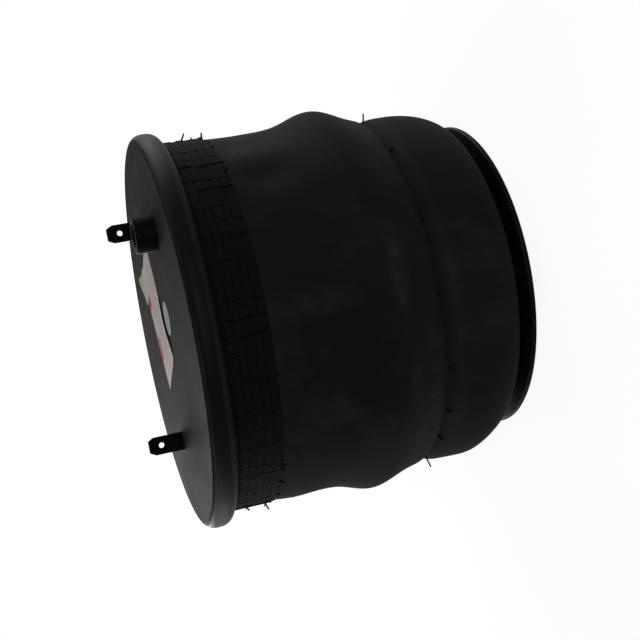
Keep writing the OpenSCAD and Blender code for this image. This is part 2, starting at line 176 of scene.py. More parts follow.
# Sides of the turned pieces: the sleeve's outer layer, the layers under it, the beads and the boss
COVER_SIDES, LAYER_SIDES, BEAD_SIDES, BOSS_SIDES = 288, 96, 144, 96

# Each layer of the wall: its name, how deep its two faces lie, the node it stands for and its slot
LAYERS = [
    ("cover", 0.0, 0.0016, "bellows_cover", "cover_rubber"),
    ("outer_ply", 0.00165, 0.00235, "outer_cord_ply", "cord_ply"),
    ("inner_ply", 0.0024, 0.0031, "inner_cord_ply", "cord_ply"),
    ("liner", 0.00315, 0.00415, "inner_liner", "liner_rubber"),
]

# The softboxes: name, place, side, power in watts and colour. They face the middle of the spring.
SOFTBOXES = [
    ("softbox_far_side", (-0.45, 1.25, 0.4), 1.0, 14.5, (0.88, 0.94, 1.0)),
    ("softbox_near_side", (-0.55, -1.2, 0.4), 1.0, 8.0, (1.0, 0.96, 0.92)),
    ("softbox_behind", (-2.3, -0.6, 0.6), 0.9, 26.0, (1.0, 0.95, 0.91)),
    ("softbox_front", (2.7, 0.4, 0.9), 1.6, 39.0, (1.0, 1.0, 1.0)),
]
LIGHT_AIM = Vector((0, 0, 0.12))
ROOM_LIGHT = 0.14

# The photograph's camera: its place, its tilt down and its roll in degrees, and its lens in millimetres
CAMERA_PLACE = (0.8681, -0.0117, 0.3484)
CAMERA_DOWN, CAMERA_ROLL = 14.504, -101.18
CAMERA_LENS = 67.19


# Finishes

class Wire:
    """A socket of a finish's nodes. Sums and products of wires add Math nodes."""

    def __init__(self, finish, socket):
        self.finish = finish
        self.socket = socket

    def __add__(self, other):
        return maths("ADD", self, other)

    def __radd__(self, other):
        return maths("ADD", other, self)

    def __sub__(self, other):
        return maths("SUBTRACT", self, other)

    def __rsub__(self, other):
        return maths("SUBTRACT", other, self)

    def __mul__(self, other):
        return maths("MULTIPLY", self, other)

    def __rmul__(self, other):
        return maths("MULTIPLY", other, self)

    def __truediv__(self, other):
        return maths("DIVIDE", self, other)

    def between(self, low, high):
        """0 below low, 1 above high, and a smooth rise between them."""
        return self.finish.node(
            "ShaderNodeMapRange",
            {"interpolation_type": "SMOOTHSTEP"},
            {"Value": self, "From Min": low, "From Max": high},
        )

    def within(self, low, high, soft):
        """1 from low to high, with a soft edge inside each end, and 0 outside."""
        return self.between(low, low + soft) * (1.0 - self.between(high - soft, high))


def maths(operation, *values):
    """One Math node on wires and numbers."""
    finish = next(value.finish for value in values if isinstance(value, Wire))
    return finish.node("ShaderNodeMath", {"operation": operation}, dict(enumerate(values)))


class Finish:
    """One material of the spring, and the nodes that make it."""

    def __init__(self, name, **shader):
        self.material = bpy.data.materials.new(name)
        self.material.use_nodes = True
        self.tree = self.material.node_tree
        self.tree.nodes.clear()
        self.shader = self.tree.nodes.new("ShaderNodeBsdfPrincipled")
        self.output = self.tree.nodes.new("ShaderNodeOutputMaterial")
        self.tree.links.new(self.shader.outputs[0], self.output.inputs["Surface"])
        for socket, value in shader.items():
            self.shader.inputs[socket.replace("_", " ").title().replace("Ior", "IOR")].default_value = value
        self.place = self.node("ShaderNodeTexCoord", out="Object")

    def put(self, socket, value):
        """Gives a socket its number, colour or wire."""
        if isinstance(value, Wire):
            self.tree.links.new(value.socket, socket)
        elif isinstance(value, (tuple, list)) and len(socket.default_value) == 4 and len(value) == 3:
            socket.default_value = (*value, 1.0)
        else:
            socket.default_value = value

    def node(self, kind, settings=None, sockets=None, out=0):
        """A node of any kind. Its settings are set first, then the values or wires of its sockets."""
        made = self.tree.nodes.new(kind)
        for name, value in (settings or {}).items():
            setattr(made, name, value)
        for name, value in (sockets or {}).items():
            self.put(made.inputs[name], value)
        return Wire(self, made.outputs[out])

    def axes(self, vector=None):
        """The X, Y and Z of a vector, or of the place on the piece."""
        split = self.node("ShaderNodeSeparateXYZ", None, {0: vector or self.place})
        made = split.socket.node
        return [Wire(self, made.outputs[i]) for i in range(3)]

    def round_axis(self):
        """The angle round the spring's axis, the distance from it and the height."""
        x, y, z = self.axes()
        return maths("ARCTAN2", y, x), maths("SQRT", x * x + y * y), z

    def stretched(self, x, y, z):
        """The place, scaled along each axis, so that a pattern runs along one of them."""
        return self.node("ShaderNodeMapping", None, {"Vector": self.place, "Scale": (x, y, z)})

    def noise(self, scale, detail=3.0, rough=0.5, vector=None, distort=0.0):
        sockets = {"Vector": vector or self.place, "Scale": scale, "Detail": detail, "Roughness": rough}
        sockets["Distortion"] = distort
        return self.node("ShaderNodeTexNoise", None, sockets)

    def mixed(self, share, first, second):
        """A colour between two colours or wires."""
        settings = {"data_type": "RGBA"}
        sockets = {"Factor": share, 6: first, 7: second}
        return self.node("ShaderNodeMix", settings, sockets, out=2)

    def colour(self, value):
        self.put(self.shader.inputs["Base Color"], value)

    def rough(self, value):
        self.put(self.shader.inputs["Roughness"], value)

    def bumped(self, height, depth, strength=1.0):
        sockets = {"Height": height, "Distance": depth, "Strength": strength}
        self.put(self.shader.inputs["Normal"], self.node("ShaderNodeBump", None, sockets))

    def covered(self, share, other):
        """Another shader in place of the first one where the share is 1."""
        sockets = {0: share, 1: Wire(self, self.shader.outputs[0]), 2: other}
        mixed = self.node("ShaderNodeMixShader", None, sockets)
        self.tree.links.new(mixed.socket, self.output.inputs["Surface"])

    def glossier(self, share, specular_ior_level):
        """A glossier shader where the share is 1, with the first one's colour, roughness and bump."""
        other = self.tree.nodes.new("ShaderNodeBsdfPrincipled")
        other.inputs["Specular IOR Level"].default_value = specular_ior_level
        for name in ("Base Color", "Roughness", "Normal"):
            self.tree.links.new(self.shader.inputs[name].links[0].from_socket, other.inputs[name])
        self.covered(share, Wire(self, other.outputs[0]))


def chalk_and_highlights(finish, ragged):
    """How chalky the sleeve is at each place, with its painted highlights and painted shade: a few soft-edged
    marks, broken up by a ragged noise.
    """
    x, y, z = finish.axes()
    out = maths("SQRT", x * x + y * y)
    marks = 0.0
    for angle, half_angle, height, half_height, strength in CHALK_AND_HIGHLIGHT_MARKS:
        centre = math.radians(angle)
        facing = (x * math.cos(centre) + y * math.sin(centre)) / out
        # Twice (1 - cosine) is about the angle squared, and has no seam at the back
        across_squared = (1.0 - facing) * (2.0 / math.radians(half_angle) ** 2)
        along = (z - height) / half_height
        marks = maths("EXPONENT", -1.0 * (across_squared + along * along)) * strength + marks
    return marks * (0.35 + 1.3 * ragged)


def rubber_finish():
    """The sleeve's matt black rubber, with faint chalky patches, painted highlights on its lit sides and
    painted light in the fold under the neck.
    """
    finish = Finish("cover_rubber_matt", specular_ior_level=0.025)
    patches = finish.noise(19, 4, 0.55, distort=0.3).between(0.42, 0.74)
    clouds = finish.noise(8, 3, 0.5, finish.stretched(1, 1, 0.6)).between(0.36, 0.68)
    streaks = finish.noise(70, 4, 0.6, finish.stretched(1.6, 1.6, 0.22)).between(0.5, 0.8)
    ragged = finish.noise(85, 5, 0.65).between(0.35, 0.68)
    grain = finish.noise(420, 5, 0.7)
    # Lighter near the fold under the neck: painted light that lifts the fold's shade
    fold = maths("ABSOLUTE", finish.axes()[2] - (NECK_Z - 0.005)).between(0.002, 0.008)
    bloom_and_highlights = 0.3 * patches * clouds + 0.13 * patches + 0.2 * clouds + 0.1 * streaks
    # The chalky marks bring painted highlights and painted shade into this mix
    bloom_and_highlights = bloom_and_highlights + 0.55 * chalk_and_highlights(finish, ragged) + 0.09 * (1.0 - fold)
    dark = finish.mixed(grain, (0.0033, 0.0033, 0.0034), (0.0056, 0.0056, 0.0057))
    finish.colour(finish.mixed(bloom_and_highlights, dark, (0.019, 0.0192, 0.02)))
    finish.rough(0.66 + 0.16 * grain + 0.1 * bloom_and_highlights)
    lumps = finish.noise(120, 3, 0.5)
    finish.bumped(0.35 * grain + 0.65 * lumps, 0.0004, 0.5)
    return finish.material


def band_finish():
    """The grip band's rubber: darker, drawn in short strokes round the sleeve, with a fine slanting weave,
    painted highlights on its two lit sides and painted shade in its grooves.
    """
    finish = Finish("band_rubber", specular_ior_level=0.008)
    turn, out, z = finish.round_axis()
    # Less in the grooves than on the pads, so the groove floors keep the darkest colour: painted shade in the
    # grooves
    pad = 0.4 + 0.6 * out.between(BAND_FLOOR_R + 0.00005, BAND_FLOOR_R + 0.00025)
    # Painted highlights round the band's two lit sides, at these angles in radians
    near_side, far_side = turn + 1.1, turn - 1.25
    lit_sides = maths("EXPONENT", -8.0 * (near_side * near_side))
    lit_sides = lit_sides + 0.7 * maths("EXPONENT", -12.0 * (far_side * far_side))
    weave = maths("SINE", turn * 520 + z * 4200) + 0.6 * maths("SINE", turn * 560 - z * 3900)
    drawn = finish.node("ShaderNodeCombineXYZ", None, {0: turn * 26, 1: z * 900, 2: 0.0})
    strokes = finish.noise(1.0, 3, 0.6, drawn).between(0.5, 0.78)
    grain = finish.noise(520, 4, 0.7)
    smears = finish.noise(40, 4, 0.6).between(0.45, 0.72)
    share = (strokes * (0.35 + 0.65 * smears + 0.8 * lit_sides) + 0.15 * grain + 0.35 * lit_sides) * pad
    rubber = finish.mixed(share, (0.0032, 0.0032, 0.0033), (0.0140, 0.0138, 0.0135))
    # Bright strokes on the two lit sides: painted highlights
    bright_marks = finish.noise(1.0, 4, 0.65, drawn).between(0.42, 0.7) * lit_sides * pad
    finish.colour(finish.mixed(0.55 * bright_marks, rubber, (0.045, 0.0448, 0.044)))
    finish.rough(0.55 + 0.25 * grain)
    finish.bumped(0.25 * weave + 0.7 * strokes + grain, 0.0003, 0.6)
    return finish.material


def flash_finish():
    """The thin flash and loose threads that the mould leaves: dull, and coloured darker than the sleeve's
    rubber as painted shade.
    """
    finish = Finish("flash_rubber", specular_ior_level=0.0)
    grain = finish.noise(900, 3, 0.6)
    finish.colour(finish.mixed(grain, (0.0018, 0.0018, 0.0019), (0.004, 0.004, 0.004)))
    finish.rough(0.7 + 0.2 * grain)
    finish.bumped(grain, 0.0001, 0.5)
    return finish.material


def liner_finish():
    """Smooth black rubber, as on the liner and the seal."""
    finish = Finish("liner_rubber_smooth", specular_ior_level=0.4)
    grain = finish.noise(300, 3, 0.6)
    finish.colour(finish.mixed(grain, (0.01, 0.01, 0.01), (0.02, 0.02, 0.02)))
    finish.rough(0.45 + 0.2 * grain)
    finish.bumped(grain, 0.0002, 0.4)
    return finish.material


def cord_finish(lean):
    """Rubberised nylon cord, its threads leaning one way round the sleeve."""
    finish = Finish("cord_ply_lean_" + ("right" if lean > 0 else "left"), specular_ior_level=0.3)
    turn, _, z = finish.round_axis()
    cords = maths("SINE", turn * 420 + z * (3100 * lean))
    grain = finish.noise(500, 3, 0.6)
    finish.colour(finish.mixed(cords.between(-0.6, 0.8), (0.05, 0.045, 0.035), (0.3, 0.26, 0.19)))
    finish.rough(0.6 + 0.2 * grain)
    finish.bumped(cords + 0.3 * grain, 0.0002, 0.8)
    return finish.material


def plate_finish():
    """The bead plate's black coat: satin with a painted highlight along the rolled rim, dusty on the flat
    face.
    """
    finish = Finish("plate_coat", specular_ior_level=0.012)
    z = finish.axes()[2]
    face = z.between(PLATE_TOP - 0.0014, PLATE_TOP - 0.0004)
    film = finish.noise(14, 5, 0.6, distort=0.4).between(0.35, 0.75)
    blotches = finish.noise(60, 5, 0.62).between(0.4, 0.72)
    marks = finish.noise(90, 4, 0.65, finish.stretched(1, 0.3, 1)).between(0.56, 0.78)
    chips = finish.noise(260, 4, 0.7).between(0.66, 0.74) * finish.noise(30, 2, 0.5).between(0.5, 0.62)
    grain = finish.noise(900, 3, 0.6)
    smeared = finish.noise(24, 4, 0.6, finish.stretched(1, 1, 3)).between(0.3, 0.7)
    # A pale band round the rim's lower roll: a painted highlight
    rim_highlight = maths("EXPONENT", -1.0 * maths("POWER", (z - RIM_HIGHLIGHT_Z) / RIM_HIGHLIGHT_HALF, 2.0))
    rim_highlight = rim_highlight * (0.35 + 0.65 * smeared)
    coat = finish.mixed(grain, (0.0015, 0.0015, 0.0016), (0.0030, 0.0030, 0.0030))
    coat = finish.mixed(0.8 * rim_highlight, coat, (0.0115, 0.0117, 0.0125))
    dust = 0.5 * film + 0.4 * blotches + 0.15 * marks
    dusty = finish.mixed(dust, (0.0062, 0.0057, 0.0053), (0.0292, 0.0260, 0.0240))
    # A broken pale line along the corner where the flat face meets the rim
    corner = z.within(PLATE_TOP - 0.0021, PLATE_TOP - 0.0013, 0.0003)
    corner_line = corner * finish.noise(40, 3, 0.6).between(0.3, 0.7)
    coated = finish.mixed(face, coat, dusty)
    finish.colour(finish.mixed(chips * 0.5 + corner_line * 0.16, coated, (0.09, 0.09, 0.09)))
    finish.rough(0.42 + 0.28 * face + 0.1 * film + 0.08 * marks)
    finish.bumped(grain + 0.5 * film, 0.00012, 0.5)
    finish.glossier(1.0 - face, specular_ior_level=0.030)
    return finish.material


def boss_finish():
    """The boss's and tabs' darker coat over machined and sheared steel."""
    finish = Finish("boss_coat", specular_ior_level=0.015)
    grain = finish.noise(700, 4, 0.65)
    bright_marks = finish.noise(160, 4, 0.6).between(0.58, 0.8)
    finish.colour(finish.mixed(bright_marks * 0.7, (0.0016, 0.0016, 0.0018), (0.006, 0.006, 0.0063)))
    finish.rough(0.42 + 0.2 * grain)
    finish.bumped(grain, 0.00012, 0.5)
    return finish.material


def moulded_finish():
    """The piston's glossy black glass-filled plastic."""
    finish = Finish("moulded_black", specular_ior_level=0.022)
    haze = finish.noise(30, 4, 0.6).between(0.4, 0.75)
    grain = finish.noise(650, 3, 0.6)
    finish.colour(finish.mixed(haze * 0.5 + grain * 0.2, (0.0024, 0.0024, 0.0027), (0.0075, 0.0075, 0.0082)))
    finish.rough(0.28 + 0.14 * haze + 0.05 * grain)
    finish.bumped(haze, 0.00003, 0.3)
    return finish.material


def metal_finish(name, bright, dull, roughness):
    """Bare or plated metal, turned in fine rings round the axis."""
    finish = Finish(name, metallic=1.0)
    _, out, z = finish.round_axis()
    rings = finish.node("ShaderNodeCombineXYZ", None, {0: out * 5, 1: z * 5, 2: 0.0})
    turned = finish.noise(500, 2, 0.5, rings)
    stains = finish.noise(60, 4, 0.6).between(0.45, 0.75)
    finish.colour(finish.mixed(stains * 0.7, bright, dull))
    finish.rough(roughness + 0.15 * turned + 0.12 * stains)
    finish.bumped(turned, 0.00005, 0.4)
    return finish.material


def label_finish():
    """The large label's pale film, with faint ruled rows and a red left edge that widens into two blocks."""
    finish = Finish("label_film", specular_ior_level=0.03)
    sockets = {"Vector": finish.place, "Location": LABEL_CORNER, "Rotation": (0.0, 0.0, LABEL_TURN)}
    across, along, _ = finish.axes(finish.node("ShaderNodeMapping", {"vector_type": "TEXTURE"}, sockets))
    inside = across.between(0.0145, 0.015) * (1.0 - across.between(0.054, 0.055))
    inside = inside * along.within(0.012, 0.085, 0.001)
    row_pitch, edge_w, upper_block_w, lower_block_w = 0.0045, 0.0018, 0.0125, 0.0105
    rules = maths("SINE", along * (math.tau / row_pitch)).between(0.7, 0.95) * inside
    wide = upper_block_w * along.within(0.0647, 0.0753, 0.0006) + edge_w
    wide = wide + lower_block_w * along.within(0.0217, 0.0403, 0.0006)
    stripe = (wide - across).between(-0.0002, 0.0002) * along.within(0.0215, 0.0755, 0.0005)
    red = finish.mixed(along.between(0.0398, 0.0402), (0.36, 0.09, 0.095), (0.24, 0.012, 0.035))
    fibres = finish.noise(1200, 3, 0.6)
    soil = finish.noise(60, 5, 0.62).between(0.42, 0.75)
    film = finish.mixed(0.4 * soil + 0.15 * fibres, (0.49, 0.425, 0.42), (0.33, 0.285, 0.28))
    ruled = finish.mixed(rules * 0.7, film, (0.13, 0.12, 0.125))
    finish.colour(finish.mixed(stripe, ruled, red))
    finish.rough(0.5 + 0.15 * fibres)
    finish.bumped(fibres + 1.5 * soil, 0.00005, 0.5)
    return finish.material


def paper_finish(name, pale, corner_line):
    """A small blank sticker's paper, a little soiled."""
    finish = Finish(name, specular_ior_level=0.03)
    fibres = finish.noise(1400, 3, 0.6)
    soil = finish.noise(85, 5, 0.62).between(0.42, 0.75)
    finish.colour(finish.mixed(0.55 * soil + 0.2 * fibres, pale, corner_line))
    finish.rough(0.6 + 0.12 * fibres)
    finish.bumped(fibres + soil, 0.00005, 0.5)
    return finish.material


# Shapes

def ease(t):
    """A smooth rise from 0 at 0 to 1 at 1."""
    t = min(1.0, max(0.0, t))
    return t * t * (3 - 2 * t)


def hump(z, at, half):
    """1 at a height, and less the farther from it."""
    return math.exp(-((z - at) / half) ** 2)


def crease(z, at, half):
    """A hump with a sharper tip, as where rubber folds."""
    return math.exp(-(abs(z - at) / half) ** 1.35)


def sleeve_radius(z):
    """Outer radius of the sleeve between the rolling lobe and the rim."""
    base = LOWER_R + (SLEEVE_R - LOWER_R) * ease((z - WIDENS_FROM) / WIDENS_OVER)
    return base + BULGE_RISE * hump(z, BULGE_Z, BULGE_HALF) - NECK_DEPTH * crease(z, NECK_Z, NECK_HALF)


def heights(top, bottom, step):
    """Heights from top to bottom, evenly spaced and about a step apart."""
    count = max(1, round((top - bottom) / step))
    return [top + (bottom - top) * i / count for i in range(count + 1)]


def joined(*runs):
    """Runs of (radius, height) points end to end, without the points that two runs share."""
    path = []
    for run in runs:
        for point in run:
            if not path or (Vector(point) - Vector(path[-1])).length > 1e-6:
                path.append(point)
    return path


def walled(*runs):
    """Points of the sleeve's outer face at the heights of some runs."""
    return joined(*[[(sleeve_radius(z), z) for z in run] for run in runs])


def upper_path():
    """The wall's outer face from the rim down to the neck."""
    wall = heights(SLEEVE_END_Z, BULGE_TOP, 0.006)
    bulge = heights(BULGE_TOP, BULGE_FOOT, 0.0026)
    neck = heights(BULGE_FOOT, NECK_Z, 0.0008)
    return walled(wall, bulge, neck)


def lower_path():
    """The wall's outer face from the neck to the bottom of the rolling lobe."""
    neck = heights(NECK_Z, NECK_FOOT, 0.0008)
    waist = heights(NECK_FOOT, LOBE_TOP, 0.002)
    return joined(walled(neck, waist), lobe_arc(0, 90, 18))


def inner_path():
    """From the bottom of the lobe up the piston's wall and over its shoulder to the lower bead."""
    up = [(INNER_R, z) for z in heights(SHOULDER_Z - 0.004, LOBE_TOP + 0.010, 0.01)][::-1]
    turn = [math.radians(a) for a in range(0, 91, 9)]
    over = [(SHOULDER_R + SHOULDER_OUT * math.cos(a), SHOULDER_Z + SHOULDER_OUT * math.sin(a)) for a in turn]
    end = [(LOWER_BEAD_R + 0.002, SHOULDER_Z + SHOULDER_OUT)]
    return joined(lobe_arc(90, 180, 18), up, over, end)


def lobe_arc(start, stop, steps):
    """The rolling lobe's half ellipse, by the angle below its widest point."""
    middle, half = (LOWER_R + INNER_R) / 2, (LOWER_R - INNER_R) / 2
    angles = [math.radians(start + (stop - start) * i / steps) for i in range(steps + 1)]
    return [(middle + half * math.cos(a), LOBE_TOP - (LOBE_TOP - LOBE_Z) * math.sin(a)) for a in angles]


def inset(path, depth):
    """The path moved towards the air chamber by a depth."""
    moved = []
    for i, point in enumerate(path):
        before, after = path[max(0, i - 1)], path[min(len(path) - 1, i + 1)]
        along = (Vector(after) - Vector(before)).normalized()
        moved.append((point[0] + along.y * depth, point[1] - along.x * depth))
    return moved


def spun(outline, sides):
    """A closed shell turned from a loop of (radius, height) points round the spring's axis."""
    shape = bmesh.new()
    points = [shape.verts.new((r, 0.0, z)) for r, z in outline]
    edges = [shape.edges.new(pair) for pair in zip(points, points[1:] + points[:1])]
    bmesh.ops.spin(
        shape,
        geom=points + edges,
        cent=(0, 0, 0),
        axis=(0, 0, 1),
        angle=math.tau,
        steps=sides,
        use_merge=True,
    )
    return shape


def finished(name, shape, material, body=None, replaced=None, sharp=40, turn_out=True):
    """A piece from a shape: doubles merged, faces outwards, smooth but for its sharp edges."""
    bmesh.ops.remove_doubles(shape, verts=shape.verts, dist=1e-6)
    if turn_out:
        bmesh.ops.recalc_face_normals(shape, faces=shape.faces)
    mesh = bpy.data.meshes.new(name)
    shape.to_mesh(mesh)
    shape.free()
    mesh.shade_smooth()
    mesh.set_sharp_from_angle(angle=math.radians(sharp))
    mesh.materials.append(material)
    made = bpy.data.objects.new(name, mesh)
    bpy.context.scene.collection.objects.link(made)
    if body:
        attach(made, body)
    if replaced:
        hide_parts(replaced)
    return made


def slack(x, y, z):
    """How far the unloaded rubber wanders at a place: lumps, dents, swells, and a neck that isn't level."""
    r = math.hypot(x, y)
    turn = math.atan2(y, x)
    free = ease((z - LOBE_Z) / 0.03) * (1 - ease((z - SLACK_TOP) / 0.03)) * ease((r - SLACK_INNER_R) / 0.016)
    if free == 0:
        return Vector((0, 0, 0))
    lumps = noise.noise(Vector((math.cos(turn) * 2.2, math.sin(turn) * 2.2, z * 22)))
    dents = noise.noise(Vector((math.cos(turn) * 5, math.sin(turn) * 5, z * 40 + 7)))
    out = 0.0006 * lumps + 0.0004 * dents
    for angle, half_angle, height, half_height, rise in SWELLS:
        apart = math.remainder(turn - math.radians(angle), math.tau) / math.radians(half_angle)
        out += rise * math.exp(-apart * apart) * hump(z, height, half_height)
    wave = math.sin(3 * turn + 0.6) * 0.5 + math.sin(7 * turn + 2.1) * 0.3
    up = 0.0011 * wave * hump(z, NECK_Z, 0.016)
    return free * Vector((out * x / r, out * y / r - SLACK_SAG, up))


def slackened(shape):
    """Moves a shape's points by the rubber's slack."""
    for point in shape.verts:
        point.co += slack(*point.co)


def on_sleeve(angle, z, r=None):
    """A place on the sleeve, its angle in degrees."""
    turn = math.radians(angle)
    r = r or sleeve_radius(z)
    place = Vector((r * math.cos(turn), r * math.sin(turn), z))
    return place + slack(*place)


def layer_pieces(name, near, far, node, material):
    """One layer of the wall as three pieces: above the neck, below it, and up the piston's wall."""
    sides = COVER_SIDES if name == "cover" else LAYER_SIDES
    stretches = [("upper", upper_path()), ("lower", lower_path()), ("inner", inner_path())]
    made = {}
    for stretch, path in stretches:
        outline = inset(path, near) + inset(path, far)[::-1]
        shape = spun(outline, sides)
        slackened(shape)
        made[stretch] = finished(f"{name}_{stretch}", shape, material, replaced=node)
    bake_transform(made["upper"], "bellows", "top_plate", (0, 0, NECK_Z + 0.004), (0, 0, BAND_Z))
    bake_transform(made["lower"], "piston", "bellows", (0, 0, LOBE_Z + 0.004), (0, 0, NECK_Z - 0.004))
    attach(made["inner"], "piston")


def oval(r, z, half_w, half_h, steps=28):
    """A loop of (radius, height) points round an oval."""
    angles = [math.tau * i / steps for i in range(steps)]
    return [(r + half_w * math.cos(a), z + half_h * math.sin(a)) for a in angles]


def add_shape(shape, other):
    """Puts another shape into this one, and frees the other."""
    hold = bpy.data.meshes.new("hold")
    other.to_mesh(hold)
    other.free()
    shape.from_mesh(hold)
    bpy.data.meshes.remove(hold)


def bead_ring(name, r, z, half_h, material, body):
    """The rubber of a bead: an oval ring with a round channel for its wire."""
    shape = spun(oval(r, z, BEAD_HALF_W, half_h), BEAD_SIDES)
    bmesh.ops.recalc_face_normals(shape, faces=shape.faces)
    channel = spun(oval(r, z, WIRE_ROOM, WIRE_ROOM, 20), BEAD_SIDES)
    bmesh.ops.recalc_face_normals(channel, faces=channel.faces)
    bmesh.ops.reverse_faces(channel, faces=channel.faces)
    add_shape(shape, channel)
    finished(name, shape, material, body, "bellows_cover", turn_out=False)


# The grip band under the rim: rows of pads between grooves, with thin flash standing in the grooves

def groove_turn(turns, column, z):
    """The angle of a lengthwise groove of the band, which wanders a little."""
    wander = 0.0035 * math.sin(column * 5.1 + z * 260) + 0.0015 * math.sin(column * 2.3 + z * 900)
    return turns[column % BAND_COLUMNS] + wander


def grip_band(turns, material):
    """The band, sunk a little into the sleeve, with a sloping lower lip that is slightly ragged."""
    sunk, lip = 0.0006, 0.0012
    rows = heights(BAND_TOP, BAND_Z, (BAND_TOP - BAND_Z) / BAND_ROWS)
    inside = SLEEVE_R - sunk
    outline = [(BAND_FLOOR_R, z) for z in rows] + [(inside, BAND_Z - lip), (inside, BAND_TOP)]
    shape = spun(outline, BAND_COLUMNS)
    step = math.tau / BAND_COLUMNS
    for point in shape.verts:
        x, y, z = point.co
        column = round(math.atan2(y, x) / step) % BAND_COLUMNS
        a, r = groove_turn(turns, column, z), math.hypot(x, y)
        at_edge = abs(z - BAND_Z) < 1e-5
        ragged = 0.0007 * math.sin(column * 2.9) * math.sin(column * 1.3 + 1) if at_edge else 0.0
        point.co = (r * math.cos(a), r * math.sin(a), z + ragged)
    bmesh.ops.recalc_face_normals(shape, faces=shape.faces)
    floor_r = BAND_FLOOR_R - 1e-4
    pads = [face for face in shape.faces if all(math.hypot(*v.co.xy) > floor_r for v in face.verts)]
    bmesh.ops.inset_individual(
        shape, faces=pads, thickness=GROOVE_HALF, depth=BAND_PAD_RISE, use_even_offset=True
    )
    # The long edges that run round the sleeve are split, and the new points set out to the old ones' radius
    out = shape.verts.layers.float.new("out")
    for point in shape.verts:
        point[out] = math.hypot(*point.co.xy)
    rings = [
        edge for edge in shape.edges
        if edge.calc_length() > 0.0045 and abs(edge.verts[0].co.z - edge.verts[1].co.z) < 0.0025
    ]
    bmesh.ops.subdivide_edges(shape, edges=rings, cuts=3, use_grid_fill=True)
    for point in shape.verts:
        grown = point[out] / math.hypot(*point.co.xy)
        point.co.x *= grown
        point.co.y *= grown
    shape.verts.layers.float.remove(out)
    finished("grip_band", shape, material, "top_plate", "bellows_cover", 30, turn_out=False)


def flash_fins(turns, rng, material):
    """Thin walls of flash in the band's lengthwise grooves, ending in barbs below its edge."""
    shape = bmesh.new()
    root_depth, tip_half = 0.0003, 0.00006
    stations = heights(BAND_TOP, BAND_Z, 0.0029)
    for column in range(BAND_COLUMNS):
        tall = rng.choice(FLASH_RISES)
        wide = rng.choice(FLASH_HALVES)
        barb = rng.choice(FLASH_BARBS)
        sideways = abs(math.sin(turns[column]))
        wide *= 1 + FLASH_SIDE_GAIN * ease((sideways - 0.68) / 0.2)
        ends = [(z, tall * rng.uniform(0.3, 1.3), wide * rng.uniform(0.7, 1.3)) for z in stations]
        ends.append((BAND_Z - barb, 0.3 * tall + 0.4 * barb, tip_half))
        before = None
        for z, rise, half in ends:
            a = groove_turn(turns, column, z)
            low, high = BAND_FLOOR_R - root_depth, BAND_FLOOR_R + rise
            side = half / low
            points = [
                shape.verts.new((low * math.cos(a - side), low * math.sin(a - side), z)),
                shape.verts.new((high * math.cos(a), high * math.sin(a), z)),
                shape.verts.new((low * math.cos(a + side), low * math.sin(a + side), z)),
            ]
            edges = [shape.edges.new((points[i], points[i - 1])) for i in range(3)]
            if before:
                bmesh.ops.bridge_loops(shape, edges=before + edges)
            else:
                shape.faces.new(points)
            before = edges
        shape.faces.new(points)
    finished("band_flash_fins", shape, material, "top_plate", "bellows_cover", 35)


def thread(root, way, length, radius):
    """A tapered thread of rubber that grows from a root, curling a little as it goes."""
    shape = bmesh.new()
    middle = Matrix.Translation((0, 0, length / 2))
    bmesh.ops.create_cone(
        shape, cap_ends=True, segments=5, radius1=radius, radius2=radius * THREAD_TAPER, depth=length,
        matrix=middle,
    )
    sides = [edge for edge in shape.edges if edge.calc_length() > length * 0.8]
    bmesh.ops.subdivide_edges(shape, edges=sides, cuts=4)
    for point in shape.verts:
        point.co.x += THREAD_CURL * length * (max(0.0, point.co.z) / length) ** 2
    turn = way.to_track_quat("Z", "Y").to_matrix()
    bmesh.ops.rotate(shape, verts=shape.verts, cent=(0, 0, 0), matrix=turn)
    bmesh.ops.translate(shape, verts=shape.verts, vec=root - way * radius)
    return shape


def threads(name, places, body, material, rng):
    """Loose threads of rubber, some forked, each with its root, its length and its lean along the axis."""
    shape = bmesh.new()
    for root, length, lean in places:
        outward = Vector((root.x, root.y, 0)).normalized()
        around = Vector((-outward.y, outward.x, 0)) * rng.uniform(-0.3, 0.3)
        way = (outward + around + Vector((0, 0, lean))).normalized()
        add_shape(shape, thread(root, way, length, rng.uniform(*THREAD_R)))
        if rng.random() < FORK_SHARE:
            other = (outward * 0.6 - around + Vector((0, 0, -lean))).normalized()
            add_shape(shape, thread(root, other, length * 0.6, FORK_R))
    finished(name, shape, material, body, "bellows_cover")


def neck_places(rng):
    """The neck's threads, with some more on the hidden side."""
    hidden = [
        (rng.uniform(*HIDDEN_SIDE), rng.uniform(0.003, 0.007), rng.uniform(-0.6, 0.6))
        for _ in range(11)
    ]
    return [(on_sleeve(angle, NECK_Z), length, lean) for angle, length, lean in NECK_THREADS + hidden]


def band_places(rng):
    """The band's threads, with some more on the hidden side."""
    hidden = [
        (rng.uniform(*HIDDEN_SIDE), BAND_Z, rng.uniform(0.0015, 0.005), rng.uniform(-0.9, -0.2))
        for _ in range(12)
    ]
    out = BAND_FLOOR_R + BAND_PAD_RISE
    return [(on_sleeve(angle, z, out), length, lean) for angle, z, length, lean in BAND_THREADS + hidden]


# Labels

def cut_up(shape, step):
    """Cuts a flat sheet every step along X and Y, so that it can curl."""
    low = Vector([min(v.co[i] for v in shape.verts) for i in range(3)])
    high = Vector([max(v.co[i] for v in shape.verts) for i in range(3)])
    for axis in (0, 1):
        across = Vector((1, 0, 0)) if axis == 0 else Vector((0, 1, 0))
        count = max(1, round((high[axis] - low[axis]) / step))
        for i in range(1, count):
            at = low[axis] + (high[axis] - low[axis]) * i / count
            parts = list(shape.verts) + list(shape.edges) + list(shape.faces)
            bmesh.ops.bisect_plane(shape, geom=parts, plane_co=across * at, plane_no=across)


